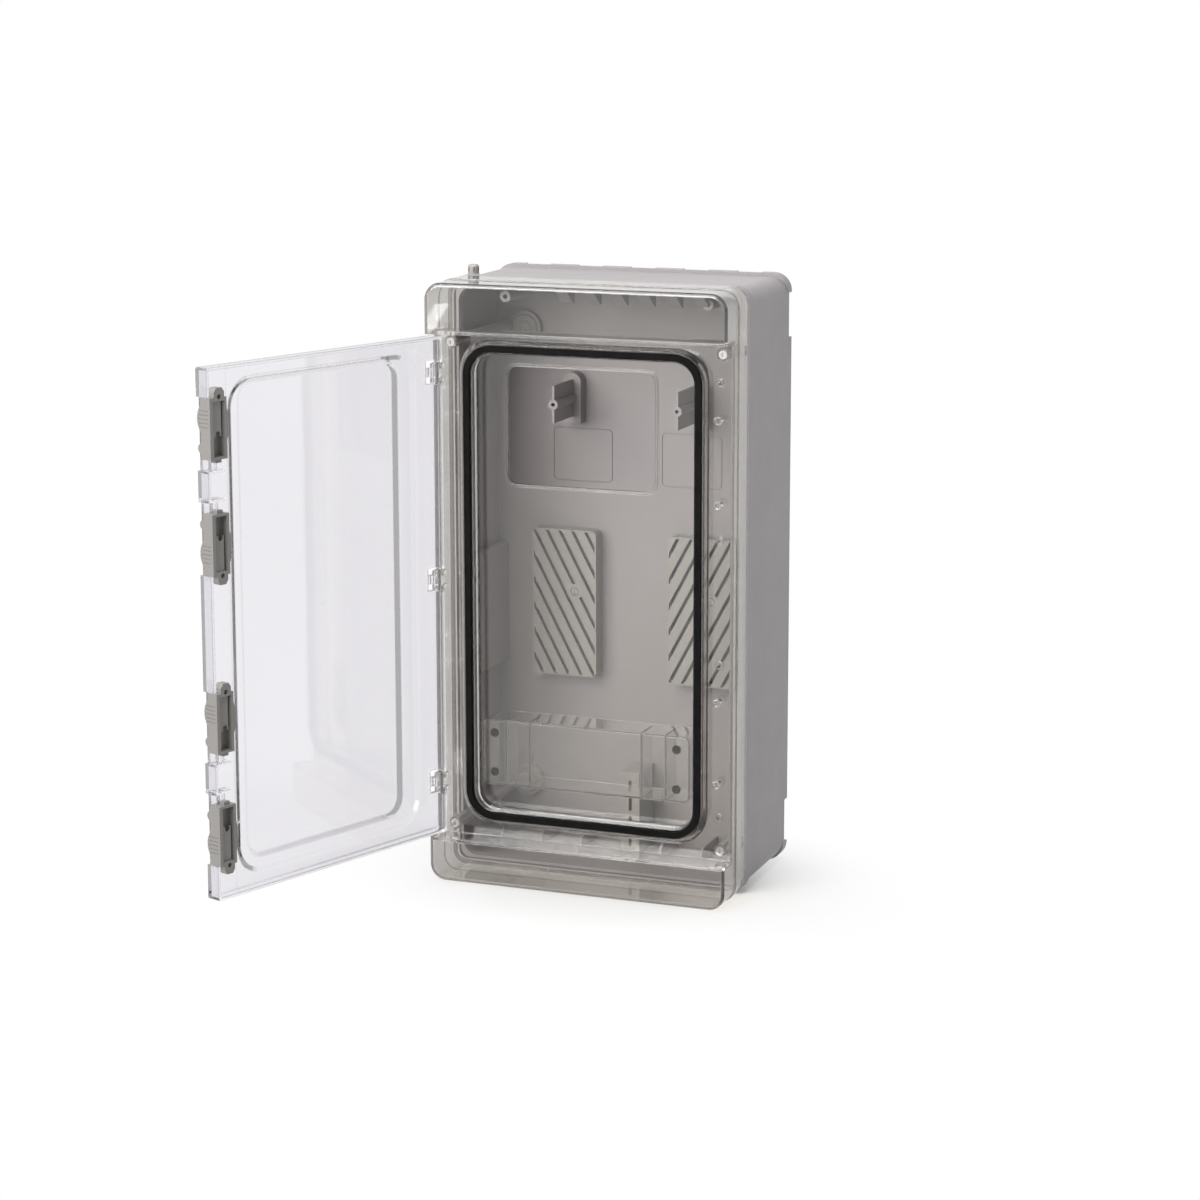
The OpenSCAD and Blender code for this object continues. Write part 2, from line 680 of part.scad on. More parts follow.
module wall_fixing_plugs() {
    r = plug_d / 2;
    h = plug_ring_h + 1.5;
    skin = 2;
    color([0.66, 0.65, 0.66]) for (p = FIXINGS)
        translate([p[0], fy(back_d), p[1]]) rotate([90, 0, 0]) rotate_extrude()
            polygon([[r - skin, 0], [r, 0], [r, h - 1], [r - 1, h], [r - 3, h], [r - 3.6, h - 1],
                     [r - 6, h - 1], [r - 6.6, h], [r - 8, h], [r - 8.6, h - 1],
                     [0, h - 1], [0, h - 1 - skin], [r - skin, h - 1 - skin]]);
}

module breather_plug() {
    top = half_h - body_inset;
    inside = inner_h / 2;
    color([0.66, 0.65, 0.66]) translate([breather_x, fy(breather_d), 0]) difference() {
        union() {
            translate([0, 0, inside - 6]) cylinder(r = breather_stem_r, h = top - inside + 7);
            // snap ring under the wall
            translate([0, 0, inside - 6]) rotate_extrude()
                polygon([[0, 0], [breather_stem_r - 0.4, 0], [breather_stem_r + 0.7, 3],
                         [breather_stem_r + 0.7, 4.8], [0, 4.8]]);
            translate([0, 0, top]) rotate_extrude()
                polygon([[0, 0], [breather_r, 0], [breather_r, 2], [breather_r - 1, 3],
                         [breather_r - 1, 9.5],
                         [breather_r - 2.2, 11], [0, 11]]);
        }
        translate([0, 0, inside - 7]) cylinder(r = 1.5, h = top - inside + 13);
        for (a = [0:60:300])
            rotate([0, 0, a]) translate([4, -0.6, top + 5]) cube([2, 1.2, 3]);
    }
}

// A raised tray with sloping slots: side is -1 on the left and +1 on the right
module fixing_grid(side) {
    skin = 2.5;
    edge = 1.3;
    d0 = back_d - grid_t;
    reach = ceil((grid_w + grid_h) / slot_pitch / 2);
    screw_at = grid_screw_x;
    color([0.66, 0.65, 0.64]) translate([side * grid_x, 0, grid_z]) difference() {
        union() {
            difference() {
                slab(grid_w, grid_h, 5, d0, back_d);
                slab(grid_w - 2 * skin, grid_h - 2 * skin, 3, d0 + skin, back_d + 1);
                intersection() {
                    slab(grid_w - 2 * edge, grid_h - 2 * edge, 1, d0 - 1, d0 + skin + 1);
                    for (i = [-reach:reach])
                        translate([0, fy(d0 + skin + 1), 0]) rotate([0, side * (90 - slot_angle), 0])
                            translate([(i + 0.5) * slot_pitch - slot_w / 2, -skin - 2, -grid_h])
                                cube([slot_w, skin + 2, 2 * grid_h]);
                }
            }
            rod(7.5, d0, back_d - grid_boss_h, screw_at, grid_screw_z);
        }
        rod(tap_d / 2 + 0.2, d0 - 1, back_d + 1, screw_at, grid_screw_z);
        rod(tap_d / 2 + 2, d0 - 1, d0 + 2.6, screw_at, grid_screw_z);
        rod(tap_d / 2 + 2.8, back_d - grid_boss_h - 0.2, back_d + 1, screw_at, grid_screw_z);
    }
}

module fixing_grid_left() { fixing_grid(-1); }
module fixing_grid_right() { fixing_grid(1); }

// A pan head screw: head from depth d, shank of length l behind it
module small_screw(x, z, d, l) {
    difference() {
        union() {
            rod(tap_d / 2 + 1.5, d, d + 2.4, x, z);
            rod(tap_d / 2 - 0.25, d + 2, d + 2.4 + l, x, z);
        }
        for (a = [0, 90])
            translate([x, fy(d), z]) rotate([0, a, 0]) translate([-1.8, -1, -0.35]) cube([3.6, 2.2, 0.7]);
    }
}

module grid_screws() {
    color([0.75, 0.75, 0.77]) for (p = GRID_SCREWS)
        small_screw(p[0], p[1], back_d - grid_t + 0.2, grid_t + 3);
}

module slotted_bar() {
    d0 = back_d - bar_t;
    skin = 2.5;
    tab_h = 14;
    tab_x = bar_w / 2 + bar_tab_w;
    color([0.66, 0.65, 0.64]) difference() {
        union() {
            block(bar_x - bar_w / 2, bar_x + bar_w / 2, d0, back_d, bar_bottom, bar_bottom + bar_h);
            block(bar_x - tab_x, bar_x + tab_x, back_d - bar_tab_t, back_d,
                  BAR_SCREWS[0][1] - tab_h / 2, BAR_SCREWS[0][1] + tab_h / 2);
        }
        block(bar_x - bar_w / 2 + skin, bar_x + bar_w / 2 - skin, d0 + skin, back_d + 1, bar_bottom - 1,
              bar_bottom + bar_h - skin);
        for (z = [bar_bottom + 6:17:bar_bottom + bar_h - 14])
            block(bar_x - slot_w / 2, bar_x + slot_w / 2, d0 - 1, d0 + skin + 1, z, z + 12);
        for (p = BAR_SCREWS) rod(tap_d / 2 + 0.2, d0 - 1, back_d + 1, p[0], p[1]);
    }
}

module bar_screws() {
    color([0.75, 0.75, 0.77]) for (p = BAR_SCREWS)
        small_screw(p[0], p[1], back_d - bar_tab_t - 2.4, bar_tab_t + 6);
}

// ---- hinge ----

module hinge_pin(z) {
    l = barrel_h / 2 + lug_gap + lug_h;
    color([0.75, 0.75, 0.77]) {
        post(pin_d / 2, hinge_x, hinge_d, z - l, z + l);
        post(pin_d / 2 + 0.9, hinge_x, hinge_d, z + l, z + l + 1);
    }
}

module hinge_pin_upper() { hinge_pin(HINGES[0]); }
module hinge_pin_middle() { hinge_pin(HINGES[1]); }
module hinge_pin_lower() { hinge_pin(HINGES[2]); }

// ---- door, drawn closed and then swung open ----

module swung() {
    translate([hinge_x, fy(hinge_d), 0]) rotate([0, 0, -door_open])
        translate([-hinge_x, -fy(hinge_d), 0]) children();
}

// The raised middle on the door's front, and the shallower hollow behind it
crown_x0 = door_left + 22;
crown_x1 = door_right - 32.5;
crown_z0 = door_bottom + 10.5;
crown_z1 = door_top - 12.5;
hollow_x0 = gx0 + gasket_w + 8;
hollow_x1 = gx1 - gasket_w - 13;
hollow_z0 = gz0 + gasket_w + 0.5;
hollow_z1 = gz1 - gasket_w - 3.5;

module crown() {
    hull() {
        panel(crown_x0, crown_x1, crown_z0, crown_z1, gasket_r, door_front_d, door_front_d + EPS, $fn = 32);
        panel(crown_x0 + 5, crown_x1 - 5, crown_z0 + 5, crown_z1 - 5, gasket_r - 5,
              door_front_d - door_crown, door_front_d - door_crown + EPS, $fn = 32);
    }
}

module door_hollow() {
    r = gasket_r - 8;
    hull() {
        panel(hollow_x0, hollow_x1, hollow_z0, hollow_z1, r, door_back_d, door_back_d + EPS, $fn = 32);
        panel(hollow_x0 + 4, hollow_x1 - 4, hollow_z0 + 4, hollow_z1 - 4, r - 4,
              door_back_d - door_crown, door_back_d - door_crown + EPS, $fn = 32);
    }
}

module door_panel() {
    difference() {
        union() {
            panel(door_left, door_right, door_bottom, door_top, 2, door_front_d, rim_back_d);
            crown();
        }
        panel(door_left + door_rim_t, door_right - door_rim_t, door_bottom + door_rim_t,
              door_top - door_rim_t, 1, door_back_d, rim_back_d + 1);
        door_hollow();
        // openings at the hinge lugs
        for (z = HINGES)
            block(door_left - 1, hinge_x + 6, door_front_d - 1, rim_back_d + 1,
                  z - barrel_h / 2 - lug_gap - lug_h - 1.8, z + barrel_h / 2 + lug_gap + lug_h + 1.8);
        // openings in the free edge for the latches
        for (l = LATCHES) {
            z = latch_z(l[0], l[1]);
            z0 = z - l[1] * (latch_l / 2 + latch_travel + latch_gap);
            z1 = z + l[1] * (latch_body_top + latch_gap);
            block(grip_x - 0.3, door_right + 1, door_front_d - 1, rim_back_d + 1, min(z0, z1), max(z0, z1));
        }
    }
}

module door_barrel(z) {
    post(barrel_r, hinge_x, hinge_d, z - barrel_h / 2, z + barrel_h / 2);
    block(hinge_x - barrel_r + 0.3, hinge_x + 6.5, door_front_d, door_back_d + 0.5,
          z - barrel_h / 2, z + barrel_h / 2);
    block(hinge_x - barrel_r + 0.3, hinge_x + barrel_r - 0.3, door_front_d, hinge_d,
          z - barrel_h / 2, z + barrel_h / 2);
}

// The tee rail that a latch slides on, and the stop rib of its pair
module latch_rail(pair, side) {
    z = latch_z(pair, side);
    z0 = z - side * (latch_l / 2 + latch_travel + latch_gap);
    z1 = z + side * (latch_body_top - 2);
    head_d = door_back_d + rail_neck_h;
    block(rail_x - rail_neck_w / 2, rail_x + rail_neck_w / 2, door_back_d - EPS, head_d + 0.1,
          min(z0, z1), max(z0, z1));
    block(rail_x - rail_w / 2, rail_x + rail_w / 2, head_d, head_d + rail_head_t, min(z0, z1), max(z0, z1));
    rib_z = z0 - side * rib_t / 2;
    block(latch_x0 - 0.6, door_right - door_rim_t + EPS, door_back_d - EPS, rim_back_d - 1,
          rib_z - rib_t / 2, rib_z + rib_t / 2);
}

module door() {
    color([0.90, 0.89, 0.92, 0.4]) swung() difference() {
        union() {
            door_panel();
            for (z = HINGES) door_barrel(z);
            for (l = LATCHES) latch_rail(l[0], l[1]);
            // the line beside the latch channel
            block(crown_x1 + 2.2, crown_x1 + 3, door_back_d - EPS, door_back_d + 0.2,
                  door_bottom + door_rim_t - EPS, door_top - door_rim_t + EPS);
            rod(1.2, door_back_d - door_crown - EPS, door_back_d - door_crown + 0.4, 0, door_mid + 6);
        }
        for (z = HINGES)
            post(pin_d / 2 + pin_clear, hinge_x, hinge_d, z - barrel_h / 2 - 1, z + barrel_h / 2 + 1);
    }
}

// ---- latches ----

// The side grip: a flat plate with a rounded thumb lobe
module latch_grip() {
    lobe_r = 17;
    plate_x(grip_x, latch_x1) difference() {
        union() {
            translate([fy(door_back_d + 1.5), -latch_l / 2 + nub_l])
                square([latch_face_d - door_back_d - 1.5, latch_l / 2 - nub_l + latch_body_top]);
            intersection() {
                translate([fy(door_front_d + 0.3 + lobe_r), 5]) circle(lobe_r);
                translate([fy(door_front_d), -latch_l / 2 + 6]) square([11, latch_l - 18]);
            }
            translate([fy(door_front_d + 5), -latch_l / 2 + 12]) circle(4.2);
        }
        translate([fy(door_front_d + 1.2), -latch_l / 2 + 18.5]) circle(2);
    }
}

// Outline of the side lobe, of the flat nub and of the eye tab, in X and Z
module latch_flat(points, d0, d1) {
    translate([0, fy(d1), 0]) rotate([90, 0, 0]) linear_extrude(d1 - d0) polygon(points);
}

module latch_body() {
    base_front_d = door_back_d + rail_clear;
    low = -latch_l / 2;
    tab_top = eye_z + 7.5;
    tab_half = 5.6;
    nub_w = 6.4;
    neck_r = keeper_neck_d / 2 + 0.4;
    head_r = keeper_head_d / 2 + 0.6;
    lobe_d = latch_face_d - 3;
    lobe_out = 1.3;
    lobe_half = 13;
    groove_z = 5;
    groove_pitch = 3.4;
    slit_x = latch_x0 + 2.6;
    slit_w = 1.8;
    slide_neck = rail_neck_w / 2 + rail_clear;
    rail_head_d = door_back_d + rail_neck_h;
    difference() {
        union() {
            block(latch_x0, grip_x + EPS, base_front_d, latch_face_d, low + nub_l, latch_body_top);
            latch_grip();
            // the eye tab, the stop nub and the side lobe
            latch_flat([[rail_x - tab_half, latch_body_top - 1], [rail_x + tab_half, latch_body_top - 1],
                        [rail_x + tab_half, tab_top - 3.5], [rail_x + tab_half - 2.5, tab_top],
                        [rail_x - tab_half + 2.5, tab_top], [rail_x - tab_half, tab_top - 3.5]],
                       tab_front_d, latch_face_d);
            block(rail_x - nub_w / 2, rail_x + nub_w / 2, tab_front_d, latch_face_d - ridge_h,
                  low, low + nub_l + 1);
            latch_flat([[latch_x0 + 1, -lobe_half], [latch_x0, -lobe_half],
                        [latch_x0 - lobe_out, 3.5 - lobe_half], [latch_x0 - lobe_out, lobe_half - 3.5],
                        [latch_x0, lobe_half], [latch_x0 + 1, lobe_half]], lobe_d, latch_face_d);
        }
        // the channel along the latch, and the slit beside it
        block(slit_x, grip_x - 1, latch_face_d - ridge_h, latch_face_d + 1,
              low + nub_l + 2, latch_body_top - 3);
        block(slit_x, slit_x + slit_w, head_front_d, latch_face_d + 1, low + nub_l + 2, latch_body_top - 3);
        // the pocket that lets the keeper's head in, and the slot for its neck
        block(rail_x - head_r, rail_x + head_r, head_front_d - 0.6, latch_face_d + 1,
              low + nub_l + 2, pocket_z + head_r);
        block(rail_x - neck_r, rail_x + neck_r, keyhole_d - 1, latch_face_d + 1,
              pocket_z, pocket_z + latch_travel + 0.5);
        rod(neck_r, keyhole_d - 1, latch_face_d + 1, rail_x, pocket_z + latch_travel + 0.5);
        // room for the keeper's head behind the plate
        block(rail_x - head_r, rail_x + head_r, head_front_d - 0.6, keyhole_d,
              pocket_z, pocket_z + latch_travel + head_r + 0.2);
        // the slide for the rail
        block(rail_x - slide_neck, rail_x + slide_neck, base_front_d - 1, rail_head_d, low - 1, latch_l);
        block(rail_x - rail_w / 2 - rail_clear, rail_x + rail_w / 2 + rail_clear,
              rail_head_d - rail_clear, rail_head_d + rail_head_t + rail_clear, low - 1, latch_l);
        // the eye
        rod(eye_d / 2, base_front_d, latch_face_d + 1, rail_x, eye_z);
        // grip grooves
        for (k = [-2:2])
            block(latch_x1 - 0.5, latch_x1 + 1, door_front_d - 1, latch_face_d - 2,
                  groove_z + k * groove_pitch - 0.4, groove_z + k * groove_pitch + 0.4);
    }
}

module latch(index) {
    l = LATCHES[index];
    color([0.66, 0.65, 0.64]) swung() translate([0, 0, latch_z(l[0], l[1])])
        if (l[1] > 0) latch_body(); else mirror([0, 0, 1]) latch_body();
}

module latch_1() { latch(0); }
module latch_2() { latch(1); }
module latch_3() { latch(2); }
module latch_4() { latch(3); }

base_housing();
cover_seal();
front_cover();
window_gasket();
inner_pane();
terminal_hood();
cover_screws();
wall_fixing_plugs();
breather_plug();
fixing_grid_left();
fixing_grid_right();
grid_screws();
slotted_bar();
bar_screws();
hinge_pin_upper();
hinge_pin_middle();
hinge_pin_lower();
door();
latch_1();
latch_2();
latch_3();
latch_4();
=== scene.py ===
"""Looks, light and camera for the hinged meter enclosure.

The solids come from the CAD frame as they are. This script gives each of them
a moulded, clear, rubber or metal finish, and sets up a white studio.
"""
import json
import math

import bpy
from mathutils import Matrix, Vector


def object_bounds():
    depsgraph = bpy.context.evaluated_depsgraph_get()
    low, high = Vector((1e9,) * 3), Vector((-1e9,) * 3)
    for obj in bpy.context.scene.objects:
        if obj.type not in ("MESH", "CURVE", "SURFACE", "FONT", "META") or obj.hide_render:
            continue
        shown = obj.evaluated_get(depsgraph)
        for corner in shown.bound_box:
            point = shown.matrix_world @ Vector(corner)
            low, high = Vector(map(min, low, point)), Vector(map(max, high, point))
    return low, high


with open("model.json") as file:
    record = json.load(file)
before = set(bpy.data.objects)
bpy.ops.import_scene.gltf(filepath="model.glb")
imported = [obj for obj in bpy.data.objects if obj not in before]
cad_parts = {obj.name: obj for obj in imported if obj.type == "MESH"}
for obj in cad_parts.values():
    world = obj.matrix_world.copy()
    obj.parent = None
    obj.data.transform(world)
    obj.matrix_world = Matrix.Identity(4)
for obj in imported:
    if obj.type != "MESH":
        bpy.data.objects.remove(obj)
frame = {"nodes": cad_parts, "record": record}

CAD_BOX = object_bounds()
FLOOR_Z = CAD_BOX[0].z
CENTRE = (CAD_BOX[0] + CAD_BOX[1]) / 2

# Camera: a long lens, to the right of the enclosure and a little above it
CAMERA_PLACE = Vector((0.9495, -2.6066, 0.5550))
CAMERA_YAW = math.radians(20.85)
CAMERA_PITCH = math.radians(10.28)
CAMERA_ROLL = math.radians(-0.08)
CAMERA_LENS = 92.1
SENSOR_WIDTH = 36.0
CAMERA_SHIFT = -0.08

# Studio: strength of the even light round the object, the floor and the two lamps
AMBIENT = 0.27
FLOOR_HALF_SIZE = 12
FLOOR_FOCUS = (0.0, -0.25)      # in front of the enclosure, where its shadow is kept
FLOOR_FADE = (0.12, 0.36)       # the floor turns to plain white between these distances
FLOOR_BOUNCE = 0.54             # grey of the floor for the light that it throws back
FLOOR_SHOWN = 0.72              # grey of the floor as the camera sees it
LAMP_AIM = (0, -0.1, 0)
KEY_PLACE, KEY_SIZE, KEY_WATTS = (-1.1, -2.5, 1.3), 2.4, 125
TOP_PLACE, TOP_SIZE, TOP_WATTS = (0.0, -0.2, 1.7), 1.6, 31

# Polycarbonate
PLASTIC_IOR = 1.585

# A ray inside clear plastic is let out after more bounces than these
GLOSSY_BOUNCES = 3.5
ALL_BOUNCES = 9.5


# --- shader helpers ---------------------------------------------------------

def new_material(name):
    """An empty node material: returns it, its nodes, its link function and its output."""
    material = bpy.data.materials.new(name)
    material.use_nodes = True
    nodes = material.node_tree.nodes
    nodes.clear()
    output = nodes.new("ShaderNodeOutputMaterial")
    return material, nodes, material.node_tree.links.new, output


def noise(nodes, link, coords, scale, detail=3.0, roughness=0.5, stretch=(1, 1, 1)):
    """A noise value between 0 and 1 in the object's own metres."""
    mapping = nodes.new("ShaderNodeMapping")
    mapping.inputs["Scale"].default_value = stretch
    link(coords.outputs["Object"], mapping.inputs["Vector"])
    texture = nodes.new("ShaderNodeTexNoise")
    texture.inputs["Scale"].default_value = scale
    texture.inputs["Detail"].default_value = detail
    texture.inputs["Roughness"].default_value = roughness
    link(mapping.outputs["Vector"], texture.inputs["Vector"])
    return texture.outputs["Fac"]


def ramp(nodes, link, value, low, high, start=0.3, end=0.7):
    """Blends from colour low to colour high as value goes from start to end."""
    blend = nodes.new("ShaderNodeValToRGB")
    blend.color_ramp.elements[0].position = start
    blend.color_ramp.elements[0].color = (*low, 1)
    blend.color_ramp.elements[1].position = end
    blend.color_ramp.elements[1].color = (*high, 1)
    link(value, blend.inputs["Fac"])
    return blend.outputs["Color"]


def spread(nodes, link, value, low, high):
    """Maps a 0 to 1 value onto the range low to high."""
    mapped = nodes.new("ShaderNodeMapRange")
    mapped.inputs["To Min"].default_value = low
    mapped.inputs["To Max"].default_value = high
    link(value, mapped.inputs["Value"])
    return mapped.outputs["Result"]


def bump(nodes, link, height, distance, strength, below=None):
    """A bump of that depth in metres, on top of another normal where one is given."""
    node = nodes.new("ShaderNodeBump")
    node.inputs["Strength"].default_value = strength
    node.inputs["Distance"].default_value = distance
    link(height, node.inputs["Height"])
    if below is not None:
        link(below, node.inputs["Normal"])
    return node.outputs["Normal"]


def shade(colour, factor):
    """The colour, lighter or darker by a factor."""
    return tuple(min(1.0, c * factor) for c in colour)


def larger(nodes, link, first, second):
    """The larger of two values: either of two light path flags."""
    node = nodes.new("ShaderNodeMath")
    node.operation = "MAXIMUM"
    link(first, node.inputs[0])
    link(second, node.inputs[1])
    return node.outputs["Value"]


def above(nodes, link, value, limit):
    """1 where value is larger than limit, else 0."""
    node = nodes.new("ShaderNodeMath")
    node.operation = "GREATER_THAN"
    node.inputs[1].default_value = limit
    link(value, node.inputs[0])
    return node.outputs["Value"]


def mixed(nodes, link, share, first, second):
    """Goes from the first shader to the second as share goes from 0 to 1."""
    node = nodes.new("ShaderNodeMixShader")
    link(share, node.inputs["Fac"])
    link(first, node.inputs[1])
    link(second, node.inputs[2])
    return node.outputs["Shader"]


def coloured(nodes, kind, colour):
    """The output of a shader node of that kind with a plain colour."""
    node = nodes.new(kind)
    node.inputs["Color"].default_value = (*colour, 1)
    return node.outputs[0]


# --- finishes ---------------------------------------------------------------

def moulded(name, colour, roughness, grain=0.00003, mottle=0.06):
    """Opaque moulded plastic: a fine spark-eroded grain, faint flow marks and handling wear."""
    material, nodes, link, output = new_material(name)
    coords = nodes.new("ShaderNodeTexCoord")
    surface = nodes.new("ShaderNodeBsdfPrincipled")
    surface.inputs["IOR"].default_value = PLASTIC_IOR
    flow = noise(nodes, link, coords, 9, 4, 0.55, (1, 1, 0.35))
    link(ramp(nodes, link, flow, shade(colour, 1 - mottle), shade(colour, 1 + mottle)),
         surface.inputs["Base Color"])
    rubbed = noise(nodes, link, coords, 38, 5, 0.6)
    link(spread(nodes, link, rubbed, roughness - 0.07, roughness + 0.07),
         surface.inputs["Roughness"])
    fine = noise(nodes, link, coords, 1900, 2, 0.6)
    sink = noise(nodes, link, coords, 14, 1, 0.4)
    soft = bump(nodes, link, sink, 0.0004, 0.25)
    link(bump(nodes, link, fine, grain, 0.6, soft), surface.inputs["Normal"])
    link(surface.outputs["BSDF"], output.inputs["Surface"])
    return material


def clear(name, tint, lamp_tint=(0.99, 0.98, 0.96), edge_radius=0.0012,
          roughness=0.02, ripple=0.00015, trapped_tint=(0.42, 0.42, 0.42)):
    """Clear moulded polycarbonate. Rays from lamps and diffuse bounces pass straight through,
    so that what is behind it is lit, and a ray trapped inside a wall escapes, dimmer, after
    some bounces."""
    material, nodes, link, output = new_material(name)
    coords = nodes.new("ShaderNodeTexCoord")
    surface = nodes.new("ShaderNodeBsdfPrincipled")
    surface.inputs["Transmission Weight"].default_value = 1.0
    surface.inputs["IOR"].default_value = PLASTIC_IOR
    haze = noise(nodes, link, coords, 7, 3, 0.5)
    link(ramp(nodes, link, haze, shade(tint, 0.985), shade(tint, 1.01)),
         surface.inputs["Base Color"])
    smear = noise(nodes, link, coords, 26, 4, 0.6)
    link(spread(nodes, link, smear, roughness - 0.015, roughness + 0.02),
         surface.inputs["Roughness"])
    # moulded edges are a little round
    edge = nodes.new("ShaderNodeBevel")
    edge.samples = 6
    edge.inputs["Radius"].default_value = edge_radius
    wave = noise(nodes, link, coords, 11, 1, 0.4)
    link(bump(nodes, link, wave, ripple, 0.5, edge.outputs["Normal"]), surface.inputs["Normal"])
    path = nodes.new("ShaderNodeLightPath")
    lamp_light = larger(nodes, link, path.outputs["Is Shadow Ray"], path.outputs["Is Diffuse Ray"])
    trapped = larger(nodes, link,
                     above(nodes, link, path.outputs["Glossy Depth"], GLOSSY_BOUNCES),
                     above(nodes, link, path.outputs["Ray Depth"], ALL_BOUNCES))
    let_out = mixed(nodes, link, larger(nodes, link, lamp_light, trapped),
                    surface.outputs["BSDF"],
                    coloured(nodes, "ShaderNodeBsdfTransparent", trapped_tint))
    link(mixed(nodes, link, lamp_light, let_out,
               coloured(nodes, "ShaderNodeBsdfTransparent", lamp_tint)),
         output.inputs["Surface"])
    return material


def rubber(name, colour, roughness, grain):
    """Rubber or foam: dull, with dust in the pores."""
    material, nodes, link, output = new_material(name)
    coords = nodes.new("ShaderNodeTexCoord")
    surface = nodes.new("ShaderNodeBsdfPrincipled")
    surface.inputs["Specular IOR Level"].default_value = 0.05
    dust = noise(nodes, link, coords, 60, 5, 0.65)
    link(ramp(nodes, link, dust, shade(colour, 0.7), shade(colour, 1.6), 0.4, 0.75),
         surface.inputs["Base Color"])
    link(spread(nodes, link, dust, roughness - 0.08, roughness + 0.1), surface.inputs["Roughness"])
    pores = noise(nodes, link, coords, 1100, 3, 0.6)
    link(bump(nodes, link, pores, grain, 0.7), surface.inputs["Normal"])
    link(surface.outputs["BSDF"], output.inputs["Surface"])
    return material


def plated(name, colour):
    """Zinc plated steel with turned marks and faint blooming."""
    material, nodes, link, output = new_material(name)
    coords = nodes.new("ShaderNodeTexCoord")
    surface = nodes.new("ShaderNodeBsdfPrincipled")
    surface.inputs["Metallic"].default_value = 1.0
    bloom = noise(nodes, link, coords, 90, 4, 0.6)
    link(ramp(nodes, link, bloom, shade(colour, 0.82), shade(colour, 1.08)),
         surface.inputs["Base Color"])
    link(spread(nodes, link, bloom, 0.22, 0.42), surface.inputs["Roughness"])
    turned = noise(nodes, link, coords, 700, 2, 0.5, (1, 0.12, 1))
    link(bump(nodes, link, turned, 0.00005, 0.6), surface.inputs["Normal"])
    link(surface.outputs["BSDF"], output.inputs["Surface"])
    return material


FINISHES = {
    "grey_base": moulded("grey_base", (0.232, 0.215, 0.220), 0.45),
    "grey_fittings": moulded("grey_fittings", (0.238, 0.228, 0.216), 0.42),
    "grey_latch": moulded("grey_latch", (0.185, 0.176, 0.167), 0.42),
    "clear_cover": clear("clear_cover", (0.780, 0.770, 0.750)),
    "clear_pane": clear("clear_pane", (0.885, 0.877, 0.855), (1.0, 0.99, 0.97)),
    "clear_door": clear("clear_door", (0.845, 0.832, 0.865), (0.98, 0.975, 0.985), 0.0022),
    "black_rubber": rubber("black_rubber", (0.005, 0.0045, 0.0045), 0.6, 0.00008),
    "seal_foam": rubber("seal_foam", (0.16, 0.16, 0.16), 0.8, 0.0002),
    "zinc_steel": plated("zinc_steel", (0.40, 0.39, 0.38)),
}

for part in frame["record"]["subparts"]:
    node = frame["nodes"][part["node"]]
    node.data.materials.clear()
    node.data.materials.append(FINISHES[part["material_slot"]])


# --- studio -----------------------------------------------------------------

def make_world():
    """A surround that lights the object with a dim, even light, and that the camera sees as
    plain white, also in gloss and through glass."""
    world = bpy.data.worlds.new("studio")
    bpy.context.scene.world = world
    world.use_nodes = True
    nodes, link = world.node_tree.nodes, world.node_tree.links.new
    nodes.clear()
    output = nodes.new("ShaderNodeOutputWorld")
    path = nodes.new("ShaderNodeLightPath")
    direct = larger(nodes, link, path.outputs["Is Camera Ray"], path.outputs["Is Transmission Ray"])
    seen = larger(nodes, link, direct, path.outputs["Is Glossy Ray"])
    link(mixed(nodes, link, seen, coloured(nodes, "ShaderNodeBackground", (AMBIENT,) * 3),
               coloured(nodes, "ShaderNodeBackground", (1, 1, 1))),
         output.inputs["Surface"])


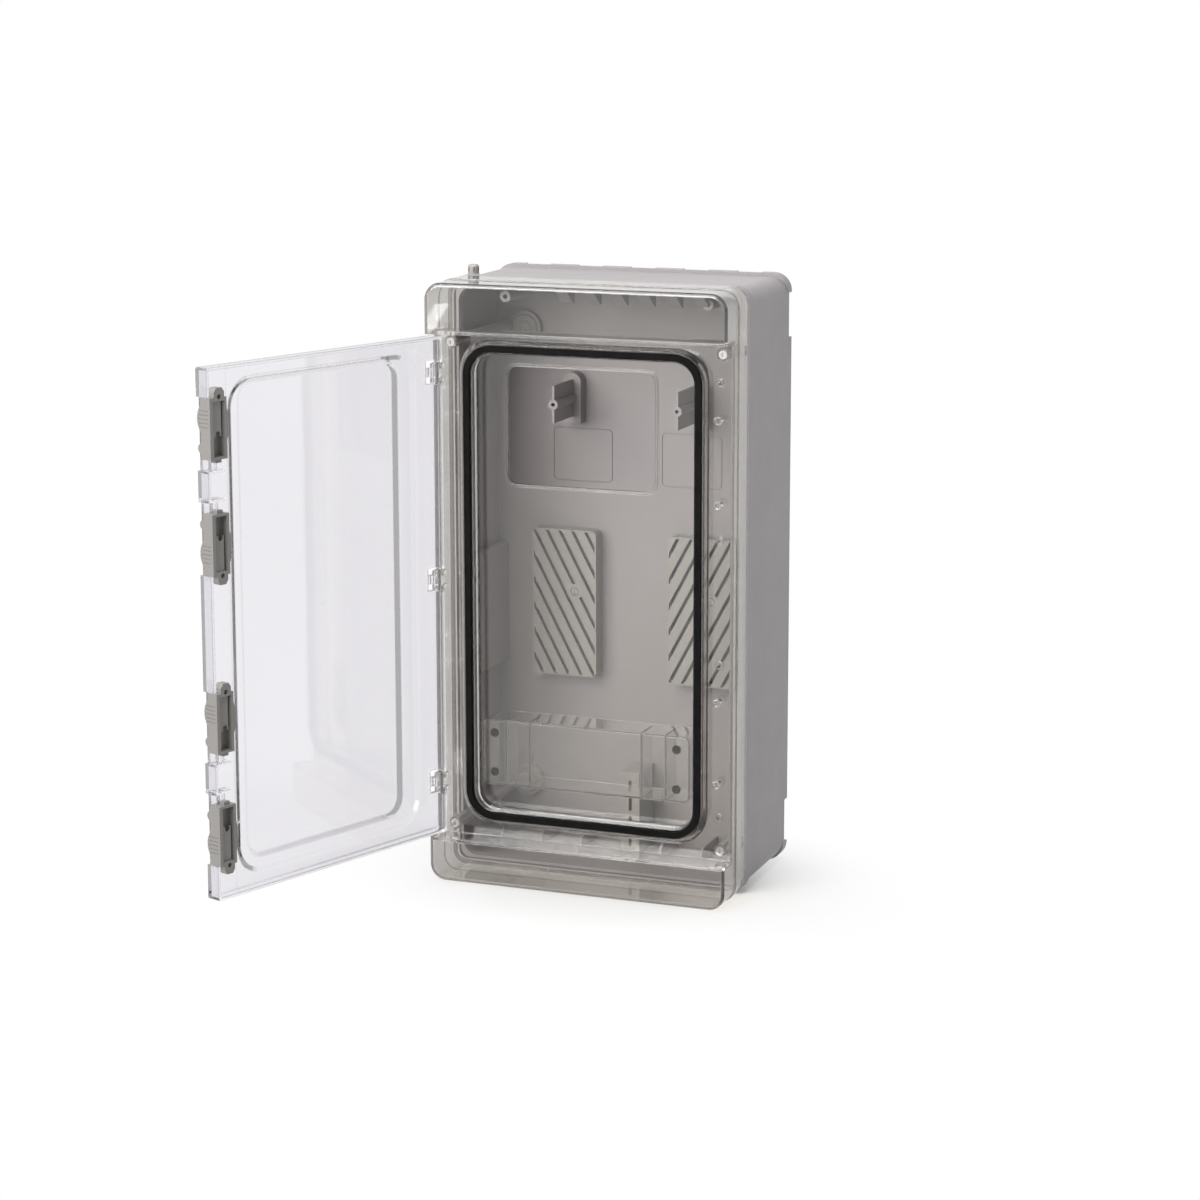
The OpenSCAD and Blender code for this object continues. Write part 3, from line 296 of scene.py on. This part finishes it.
def make_floor():
    """A pale floor that fades into the white surround past the object's shadow."""
    mesh = bpy.data.meshes.new("floor")
    x, y, half = CENTRE.x, CENTRE.y, FLOOR_HALF_SIZE
    corners = [(x - half, y - half, FLOOR_Z), (x + half, y - half, FLOOR_Z),
               (x + half, y + half, FLOOR_Z), (x - half, y + half, FLOOR_Z)]
    mesh.from_pydata(corners, [], [(0, 1, 2, 3)])
    floor = bpy.data.objects.new("floor", mesh)
    bpy.context.scene.collection.objects.link(floor)
    material, nodes, link, output = new_material("floor")
    path = nodes.new("ShaderNodeLightPath")
    near_part = mixed(nodes, link, path.outputs["Is Camera Ray"],
                      coloured(nodes, "ShaderNodeBsdfDiffuse", (FLOOR_BOUNCE,) * 3),
                      coloured(nodes, "ShaderNodeBsdfDiffuse", (FLOOR_SHOWN,) * 3))
    geometry = nodes.new("ShaderNodeNewGeometry")
    away = nodes.new("ShaderNodeVectorMath")
    away.operation = "DISTANCE"
    away.inputs[1].default_value = (*FLOOR_FOCUS, FLOOR_Z)
    link(geometry.outputs["Position"], away.inputs[0])
    fade = nodes.new("ShaderNodeMapRange")
    fade.interpolation_type = "SMOOTHSTEP"
    fade.inputs["From Min"].default_value, fade.inputs["From Max"].default_value = FLOOR_FADE
    link(away.outputs["Value"], fade.inputs["Value"])
    link(mixed(nodes, link, fade.outputs["Result"], near_part,
               coloured(nodes, "ShaderNodeEmission", (1, 1, 1))),
         output.inputs["Surface"])
    mesh.materials.append(material)


def softbox(name, place, size, watts):
    """A square studio lamp that points at the enclosure."""
    light = bpy.data.lights.new(name, "AREA")
    light.shape = "RECTANGLE"
    light.size, light.size_y = size, size
    light.energy = watts
    lamp = bpy.data.objects.new(name, light)
    lamp.location = place
    lamp.rotation_euler = (Vector(LAMP_AIM) - Vector(place)).to_track_quat("-Z", "Y").to_euler()
    bpy.context.scene.collection.objects.link(lamp)


def make_camera():
    """The camera looks down its own -Z, with +X to the right."""
    ahead = Vector((-math.sin(CAMERA_YAW) * math.cos(CAMERA_PITCH),
                    math.cos(CAMERA_YAW) * math.cos(CAMERA_PITCH),
                    -math.sin(CAMERA_PITCH)))
    right = Vector((math.cos(CAMERA_YAW), math.sin(CAMERA_YAW), 0))
    up = right.cross(ahead)
    rolled_right = math.cos(CAMERA_ROLL) * right + math.sin(CAMERA_ROLL) * up
    rolled_up = math.cos(CAMERA_ROLL) * up - math.sin(CAMERA_ROLL) * right
    lens = bpy.data.cameras.new("camera")
    lens.lens = CAMERA_LENS
    lens.sensor_width = SENSOR_WIDTH
    lens.shift_y = CAMERA_SHIFT
    camera = bpy.data.objects.new("camera", lens)
    bpy.context.scene.collection.objects.link(camera)
    turn = Matrix((rolled_right, rolled_up, -ahead)).transposed().to_4x4()
    camera.matrix_world = Matrix.Translation(CAMERA_PLACE) @ turn
    bpy.context.scene.camera = camera


make_world()
make_floor()
softbox("key", KEY_PLACE, KEY_SIZE, KEY_WATTS)
softbox("top", TOP_PLACE, TOP_SIZE, TOP_WATTS)
make_camera()
bpy.context.scene.view_settings.view_transform = "Standard"
